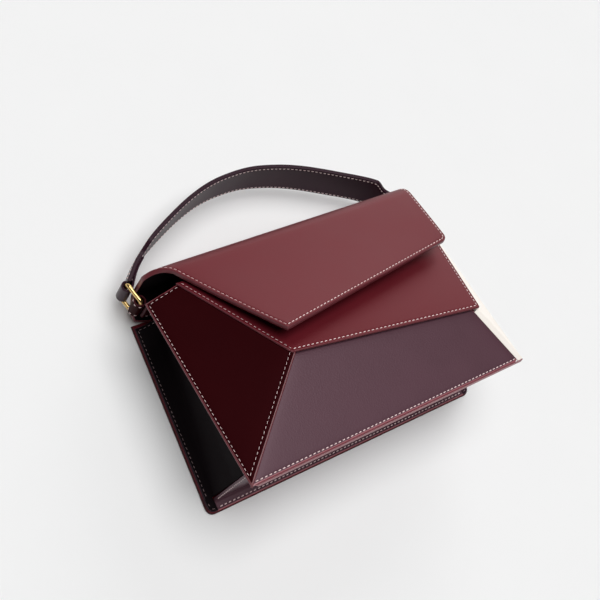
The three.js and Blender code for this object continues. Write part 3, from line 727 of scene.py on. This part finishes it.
def make_back():
    """The back panel, flat on the floor."""
    def at(side, y):
        return np.array([side * back_half(y), y, BACK_T])

    low = [at(-1, 0), at(1, 0)]
    high = [at(-1, BACK_HEIGHT), at(1, BACK_HEIGHT)]
    grid = patch(low, high, [low[0], high[0]], [low[1], high[1]])
    for col in (0, -1):
        grid = round_corner(grid, 0, col, BACK_CORNER_R)
    back = Sheet(grid, BACK_T, seams=("bottom", "left", "right"), inset=SEAM_INSET + FLANGE_MARGIN, swell=0)
    # Its edge paint is the burgundy edge paint made darker: painted shade
    leather_piece("back_panel", [back], BURGUNDY, SHADED_BURGUNDY_PAINT)


# Gussets and base
def height_on(plane, x, y):
    """Height of a plane, given by a point and its normal, over a place."""
    point, normal = plane
    return point[2] - (normal[0] * (x - point[0]) + normal[1] * (y - point[1])) / normal[2]


def below(name, depth):
    """Plane a depth below a panel's outer face."""
    corners, normal = FACE[name]
    return corners[0] - normal * depth, normal


def front_edge_x(name, y):
    """Where the outer edge of a side facet lies across the bag."""
    corners, normal = FACE[name]
    folded = corners - normal * FRONT_RISE[name]
    line = folded[[0, 3 if name == "left" else 1]]
    return np.interp(y, line[:, 1], line[:, 0])


def gusset_wall(side):
    """Side wall: a flange on the back, a fold that deepens toward the top, and a flange under the front."""
    name = "left" if side < 0 else "right"
    thickness = PANEL_T if side < 0 else RIGHT_PANEL_T
    underside = below(name, thickness + FLANGE_DROP[name] + GUSSET_T / 2)
    length = GUSSET_TOP_Y - GUSSET_BOTTOM_Y
    top_y = FACE["left"][0][3, 1] - FLANGE_MARGIN
    rows = []
    for rise in spread(length, 6):
        y = GUSSET_BOTTOM_Y + length * rise
        back_x = side * back_half(y)
        front_y = min(y, top_y)
        front_x = front_edge_x(name, front_y)
        fold = GUSSET_FOLD * rise
        root_x = back_x - side * FLANGE_ROOT
        front_root_x = front_x - side * FLANGE_ROOT
        wall_top = height_on(underside, front_root_x, front_y) - GUSSET_T
        low = FLANGE_Z + GUSSET_FOOT_RISE + (GUSSET_FLAT_LOW - FLANGE_Z - GUSSET_FOOT_RISE) * rise
        high = min(GUSSET_FLAT_HIGH, wall_top - GUSSET_FRONT_RISE)
        edge_x = front_x - side * FRONT_MARGIN
        profile = rounded([
            (back_x - side * FLANGE_MARGIN, y, FLANGE_Z),
            (root_x, y, FLANGE_Z),
            (root_x - side * fold, y, low),
            (front_root_x - side * fold, y, high),
            (front_root_x, y, height_on(underside, front_root_x, y)),
            (edge_x, y, height_on(underside, edge_x, y)),
        ], GUSSET_BEND_R, 6)
        rows.append(profile)
    shares = spread(max(run_of(row)[-1] for row in rows), 2.5)
    grid = np.array([along(row, shares) for row in rows])
    if side > 0:
        grid = grid[:, ::-1]
    flange = "left" if side < 0 else "right"
    return Sheet(grid, GUSSET_T, seams=(flange, "top"), raw=("bottom",), share=0.5, swell=0)


def gusset_foot(side):
    """The corner of the side wall's flange that goes round the back panel's bottom corner."""
    top = FLANGE_Z + GUSSET_T / 2
    outer_x = side * (back_half(0) - FLANGE_MARGIN)
    inner_x = side * (BACK_HALF_BOTTOM - FLANGE_ROOT + CLEARANCE)
    low = [(min(outer_x, inner_x), FLANGE_MARGIN, top), (max(outer_x, inner_x), FLANGE_MARGIN, top)]
    high = [(x, GUSSET_BOTTOM_Y + FLANGE_MARGIN, top) for x, _, _ in low]
    grid = patch(low, high, [low[0], high[0]], [low[1], high[1]], step=2)
    grid = round_corner(grid, 0, 0 if side < 0 else -1, BACK_CORNER_R - FLANGE_MARGIN)
    flange, hidden = ("left", "right") if side < 0 else ("right", "left")
    return Sheet(grid, GUSSET_T, seams=(flange, "bottom"), raw=("top", hidden), swell=0)


def make_gussets():
    """Both side walls."""
    # The left wall is the dark plum made darker, as painted shade; the right one keeps the dark plum
    for side, node, leather in ((-1, "left_gusset", SHADED_DARK_PLUM), (1, "right_gusset", DARK_PLUM)):
        wall, foot = gusset_wall(side), gusset_foot(side)
        leather_piece(node, [wall, foot], leather, DARK_PAINT)
        lines = [sheet.seam(seam) for sheet in (wall, foot) for seam in sheet.seams]
        # Their thread is the rose thread made darker: painted shade
        sew(node + "_stitches", lines, SHADED_THREAD, FINE_STITCH_R)


BASE_END_COL = EDGE_STEPS.index(1.6)


def make_base():
    """The bottom wall, sewn to the back by one flange and under the front by the other."""
    underside = below("lower", PANEL_T + CLEARANCE + GUSSET_T / 2)
    half = BACK_HALF_BOTTOM - FLANGE_ROOT
    corners, normal = FACE["lower"]
    front_y = (corners - normal * FRONT_RISE["lower"])[0, 1] + FRONT_MARGIN
    wall_y = BASE_Y - GUSSET_T / 2

    def profile(x):
        return rounded([
            (x, FLANGE_MARGIN, FLANGE_Z),
            (x, wall_y, FLANGE_Z),
            (x, wall_y, height_on(underside, x, BASE_Y)),
            (x, front_y, height_on(underside, x, front_y)),
        ], GUSSET_BEND_R, 6)

    left, right = profile(-half), profile(half)
    vs = spread(run_of(left)[-1], 2.5)
    us = spread(2 * half, 8)
    start, end = along(left, vs), along(right, vs)
    grid = start[:, None] * (1 - us[None, :, None]) + end[:, None] * us[None, :, None]
    base = Sheet(grid, GUSSET_T, seams=("bottom",), raw=("left", "right"), share=0.5, swell=0)
    leather_piece("base", [base], PLUM, PLUM_PAINT)
    ends = []
    for col in (BASE_END_COL, -1 - BASE_END_COL):
        on_wall = [row for row in range(len(vs)) if base.normal[row, col, 1] < -0.9]
        ends.append((base.outer[on_wall, col], base.normal[on_wall, col]))
    sew("base_stitches", [base.seam("bottom"), *ends])


# Flap
def flap_line():
    """Middle of the flap from its lap inside the back panel to the start of its front, as y and z."""
    out_y = TOP_OUT_Y - FLAP_T / 2
    bend = TOP_BEND_R - FLAP_T / 2
    neck_z = FLAP_MID_Z + NECK_RISE_Z
    turn = np.linspace(-math.pi / 2, 0, 40)
    neck = np.stack([NECK_Y + (out_y - NECK_Y) * np.cos(turn), neck_z + NECK_RISE_Z * np.sin(turn)], axis=1)
    turn = np.linspace(0, math.pi / 2 - math.atan(TOP_SLOPE), 40)
    top = np.stack([out_y - bend + bend * np.cos(turn), TOP_BEND_Z + bend * np.sin(turn)], axis=1)
    return np.concatenate([[(FLAP_LAP_Y, FLAP_MID_Z)], neck, top])


def top_lift(x):
    """How much higher or lower the flap's top is at a place across the bag."""
    return FLAP_TOP_LIFT[0] + (FLAP_TOP_LIFT[1] - FLAP_TOP_LIFT[0]) * (
        (x - FLAP_TOP_X[0]) / (FLAP_TOP_X[1] - FLAP_TOP_X[0]))


def flap_front(us, front_y, front_z):
    """Rows of the flap's front, from its slanted edge up to the bend."""
    rows = []
    drop = front_y - (TIP[1] + FLAP_CORNER[1]) / 2
    front = [w for w in 1 - spread(drop, 4) if w > 0.1]
    for w in front + [0.05]:
        width = FLAP_CORNER[0] - TIP[0]
        short = np.stack([(1 - us) * width, np.full(len(us), (1 - w) * drop)], axis=1)
        rel = FLAP_CORNER_R - short
        inside = (rel > 0).all(axis=1)
        pull = np.where(inside, rel.max(axis=1) / np.maximum(np.linalg.norm(rel, axis=1), 1e-9), 1)
        short = np.where(inside[:, None], FLAP_CORNER_R - rel * pull[:, None], short)
        u = 1 - short[:, 0] / width
        down = 1 - short[:, 1] / drop
        top_x = FLAP_TOP_X[0] + (FLAP_TOP_X[1] - FLAP_TOP_X[0]) * u
        x = top_x + (TIP[0] + width * u - top_x) * down
        y = front_y + (TIP[1] + (FLAP_CORNER[1] - TIP[1]) * u - front_y) * down
        share = (x - TIP[0]) / width
        reach = front_y - (TIP[1] + (FLAP_CORNER[1] - TIP[1]) * share)
        top = front_z + top_lift(x)
        rise = TIP[2] + (FLAP_CORNER[2] - TIP[2]) * share - FLAP_T / 2 - top
        fall = front_y - y
        z = top + TOP_SLOPE * fall + (rise - TOP_SLOPE * reach) * (fall / reach) ** 2
        rows.append(np.stack([x, y - LEAN * top_lift(x), z], axis=1))
    return rows


def flap_bend(us, line):
    """Rows of the flap over the top and down inside the back panel."""
    length = run_of(line)[-1]
    front_z = line[-1, 1]
    rows = []
    for w in np.linspace(1, 0, 46):
        (y, z), = along(line, [w])
        wide = smoothstep(y, GUSSET_TOP_Y + 1, GUSSET_TOP_Y + 5)
        half = FLAP_LAP_HALF + (FLAP_HALF - FLAP_LAP_HALF) * wide
        left = max(-half, FLAP_TOP_X[0] - BEND_SLANT * length * (1 - w))
        opened = smoothstep(z, TOP_BEND_Z - TOP_BEND_R, TOP_BEND_Z - 0.4 * TOP_BEND_R)
        right = half + (FLAP_TOP_X[1] - half) * opened
        x = left + (right - left) * us
        lift = top_lift(x) * smoothstep(z, FLAP_MID_Z, front_z)
        rows.append(np.stack([x, y - LEAN * lift, z + lift], axis=1))
    return rows


def make_flap():
    """The flap as one sheet, with finer thread showing along its steep left edge."""
    line = flap_line()
    us = spread(FLAP_TOP_X[1] - FLAP_TOP_X[0], 7)
    rows = flap_front(us, *line[-1]) + flap_bend(us, line)
    flap = Sheet(np.array(rows), FLAP_T, seams=("bottom", "left", "right"), share=0.5, swell=0.2)
    # Its inner face is the dark plum made darker, as painted shade under the flap
    leather_piece("flap", [flap], BURGUNDY, BURGUNDY_PAINT, lining=SHADED_DARK_PLUM)
    sew("flap_stitches", [flap.seam("bottom"), flap.seam("right")])
    sew("flap_fine_stitches", [flap.seam("left")], radius=FINE_STITCH_R)


# Strap, rings and tabs
def upright(line, width, z, thickness, turn=1, **sewn):
    """Sheet on edge along a line in plan; it faces left of the line's run, or right with turn -1."""
    widths = np.broadcast_to(width, len(line))
    shares = spread(max(widths), 4) - 0.5
    if turn > 0:
        shares = shares[::-1]
    grid = [[(x, y, z + wide * share) for (x, y), wide in zip(line, widths)] for share in shares]
    return Sheet(grid, thickness, **sewn)


def facing(line):
    """Unit normals to the left of a line in plan."""
    run = np.gradient(line, axis=0)
    run /= np.linalg.norm(run, axis=1, keepdims=True)
    return np.stack([-run[:, 1], run[:, 0]], axis=1)


def loop_line(centre, radius, start, end, count=40):
    """Part of a circle in plan, between two angles in degrees."""
    turn = np.radians(np.linspace(start, end, count))
    return centre + radius * np.stack([np.cos(turn), np.sin(turn)], axis=1)


def mirrored(line, side):
    """A right-hand line as it is, or its mirror image run backwards on the left."""
    return line if side > 0 else (line * (-1, 1))[::-1]


def make_strap():
    """The strap on edge, its tongues turned round the rings and back along its inner face."""
    route = smooth_line(STRAP_ROUTE, 220)
    run = run_of(route)
    left, right = TONGUE[-1], TONGUE[1]
    widen = np.minimum(
        smoothstep(run, left["length"], left["shoulder"]),
        smoothstep(run[-1] - run, right["length"], right["shoulder"]))
    width = TONGUE_WIDTH + (STRAP_WIDTH - TONGUE_WIDTH) * widen
    body = upright(route, width, STRAP_MID_Z, STRAP_T, seams=("bottom", "top"), swell=0.15)
    inner = route - facing(route) * (STRAP_T + TONGUE_T / 2)
    sheets = [body]
    for side in (-1, 1):
        back = TONGUE[side]["back"]
        turned = inner[run < back] if side < 0 else inner[run[-1] - run < back][::-1] * (-1, 1)
        centre = np.array(RING[side]["loop"]) * (-side, 1)
        start = route[0] if side < 0 else route[-1] * (-1, 1)
        angle = math.degrees(math.atan2(*(start - centre)[::-1]))
        ring = loop_line(centre, LOOP_R - TONGUE_T / 2, angle, LOOP_END)
        line = smooth_line(np.concatenate([ring[::4], turned[6::6]]), 90)
        if side > 0:
            line = (line * (-1, 1))[::-1]
        sheets.append(upright(line, TONGUE_WIDTH, STRAP_MID_Z, TONGUE_T, turn=-1, share=0.5, swell=0))
    leather_piece("strap", sheets, DARK_PLUM, DARK_PAINT, lining=LINING)
    lines = [body.seam(side, inner) for side in body.seams for inner in (False, True)]
    sew("strap_stitches", lines)


def make_ring(side, node):
    """Rectangular ring of round wire."""
    outer, inner = np.array(RING[side]["outer"]), np.array(RING[side]["inner"])
    run = inner - outer
    corners = [(*outer, -1), (*inner, -1), (*inner, 1), (*outer, 1)]
    corners = np.array([(x, y, STRAP_MID_Z + s * RING_HALF_WIDTH) for x, y, s in corners])
    middle = (corners[0] + corners[-1]) / 2
    path = rounded([middle, *corners, middle], RING_CORNER_R, 8)[:-1]
    across = np.array([run[1], -run[0], 0]) / np.linalg.norm(run)
    travel = np.roll(path, -1, axis=0) - np.roll(path, 1, axis=0)
    radial = np.cross(travel, across)
    radial /= np.linalg.norm(radial, axis=1, keepdims=True)
    angles = np.arange(RING_SIDES) * 2 * math.pi / RING_SIDES
    points = path[:, None] + RING_WIRE_R * (
        np.cos(angles)[None, :, None] * radial[:, None] + np.sin(angles)[None, :, None] * across)
    index = np.arange(points.shape[0] * RING_SIDES).reshape(-1, RING_SIDES)
    around, ahead = np.roll(index, -1, axis=1), np.roll(index, -1, axis=0)
    faces = np.stack([index, around, np.roll(around, -1, axis=0), ahead], axis=-1).reshape(-1, 4)
    ring = mesh_object(node + "_wire", points.reshape(-1, 3), faces, [BRASS])
    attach(ring, "root")
    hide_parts(node)


def make_tab(side, node):
    """Leather loop round the ring's inner bar, its doubled tail over the hem and down inside."""
    def valley(y):
        rise = (y - GUSSET_BOTTOM_Y) / (GUSSET_TOP_Y - GUSSET_BOTTOM_Y)
        return back_half(y) - FLANGE_ROOT - GUSSET_FOLD * rise - GUSSET_T / 2 - 3 * CLEARANCE - TAB_T

    tail = rounded([
        TAB_NECK,
        (valley(GUSSET_TOP_Y) + HEM_TURN["out"], GUSSET_TOP_Y + HEM_TURN["over"]),
        (valley(GUSSET_TOP_Y), GUSSET_TOP_Y - HEM_TURN["under"]),
        (valley(TAB_TAIL_Y), TAB_TAIL_Y),
    ], TAB_BEND_R, 6)
    tail = along(tail, np.linspace(0, 1, 40))
    loop = loop_line(TAB_CENTRE, TAB_R - TAB_LOOP_T / 2, TAB_LOOP_START, TAB_LOOP_START + TAB_LOOP_TURN)
    sewn = {"share": 0.5, "seams": ("bottom", "top"), "inset": TAB_INSET, "swell": 0}
    doubled = upright(mirrored(tail, side), TAB_WIDTH, STRAP_MID_Z, 2 * TAB_T, turn=-side, **sewn)
    ring = upright(mirrored(loop, side), TAB_WIDTH, STRAP_MID_Z, TAB_LOOP_T, turn=-1, **sewn)
    # The tabs' burgundy leather and edge paint are made darker: painted shade
    leather_piece(node, [doubled, ring], SHADED_BURGUNDY, SHADED_BURGUNDY_PAINT)
    sew(node + "_stitches", [sheet.seam(s) for sheet in (doubled, ring) for s in sheet.seams])


make_back()
make_front()
make_gussets()
make_base()
make_flap()
make_strap()
for hand, word in ((-1, "left"), (1, "right")):
    make_ring(hand, word + "_ring")
    make_tab(hand, word + "_tab")
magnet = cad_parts["magnet_button"]
magnet.data.materials.clear()
magnet.data.materials.append(BRASS)

# Floor
FLOOR_HALF = 4.0
floor_mesh = bpy.data.meshes.new("floor")
floor_mesh.from_pydata([(x * FLOOR_HALF, y * FLOOR_HALF, 0) for x, y in ((-1, -1), (1, -1), (1, 1), (-1, 1))],
                       [], [(0, 1, 2, 3)])
FLOOR, floor_tree, floor_shader = new_material("matt_white_paper", Roughness=0.9, Specular_IOR_Level=0.1)
mottled(floor_tree, floor_shader, 60, "f5f5f5", "f3f3f3")
floor_mesh.materials.append(FLOOR)
floor = bpy.data.objects.new("floor", floor_mesh)
bpy.context.scene.collection.objects.link(floor)

# Light: a broad softbox overhead, a low one beyond the bag on the right, a faint fill in front, and a room
# with pale walls and a dark ceiling
WALL_LIGHT = 0.7
CEILING_LIGHT = 0.015
WALL_TOP = (0.08, 0.22)
LIGHTS = (
    ("overhead_softbox", (0.06, 0.02, 1.0), 50, 2.74),
    ("far_softbox", (0.64, 0.72, 0.28), 40, 0.9),
    ("front_fill", (0.6, -0.6, 0.53), 70, 0.06),
)
for name, toward, spread_deg, strength in LIGHTS:
    lamp = bpy.data.lights.new(name, "SUN")
    lamp.energy = strength
    lamp.angle = math.radians(spread_deg)
    light = bpy.data.objects.new(name, lamp)
    back = np.array(toward) / np.linalg.norm(toward)
    side = np.cross((0, 0, 1), back)
    side /= np.linalg.norm(side)
    light.matrix_world = Matrix(np.stack([side, np.cross(back, side), back], axis=1).tolist()).to_4x4()
    bpy.context.scene.collection.objects.link(light)
world = bpy.data.worlds.new("studio_walls")
world.use_nodes = True
room = world.node_tree
height = add(room, "ShaderNodeSeparateXYZ", {"Vector": add(room, "ShaderNodeTexCoord").outputs["Generated"]})
fade = add(room, "ShaderNodeMapRange", {"Value": height.outputs["Z"]}, interpolation_type="SMOOTHSTEP")
fade.inputs["From Min"].default_value = WALL_TOP[0]
fade.inputs["From Max"].default_value = WALL_TOP[1]
fade.inputs["To Min"].default_value = WALL_LIGHT
fade.inputs["To Max"].default_value = CEILING_LIGHT
room.nodes["Background"].inputs["Color"].default_value = linear("ffffff")
room.links.new(fade.outputs["Result"], room.nodes["Background"].inputs["Strength"])
bpy.context.scene.world = world
bpy.context.scene.view_settings.view_transform = "Standard"

# Camera: place and axes in the bag frame, as worked out from the photograph's perspective
CAMERA_AT = np.array([-381.94, -45.54, 696.55])
CAMERA_RIGHT = np.array([0.81547, -0.44926, 0.36493])
CAMERA_DOWN = np.array([-0.30445, -0.86917, -0.38969])
CAMERA_LENS = 61.594
camera_data = bpy.data.cameras.new("camera")
camera_data.lens = CAMERA_LENS
camera_data.sensor_width = 36
camera = bpy.data.objects.new("camera", camera_data)
axes = np.stack([CAMERA_RIGHT, -CAMERA_DOWN, -np.cross(CAMERA_RIGHT, CAMERA_DOWN)], axis=1)
camera.matrix_world = Matrix.Translation(BAG_ORIGIN + CAMERA_AT * MM) @ Matrix(axes.tolist()).to_4x4()
bpy.context.scene.collection.objects.link(camera)
bpy.context.scene.camera = camera
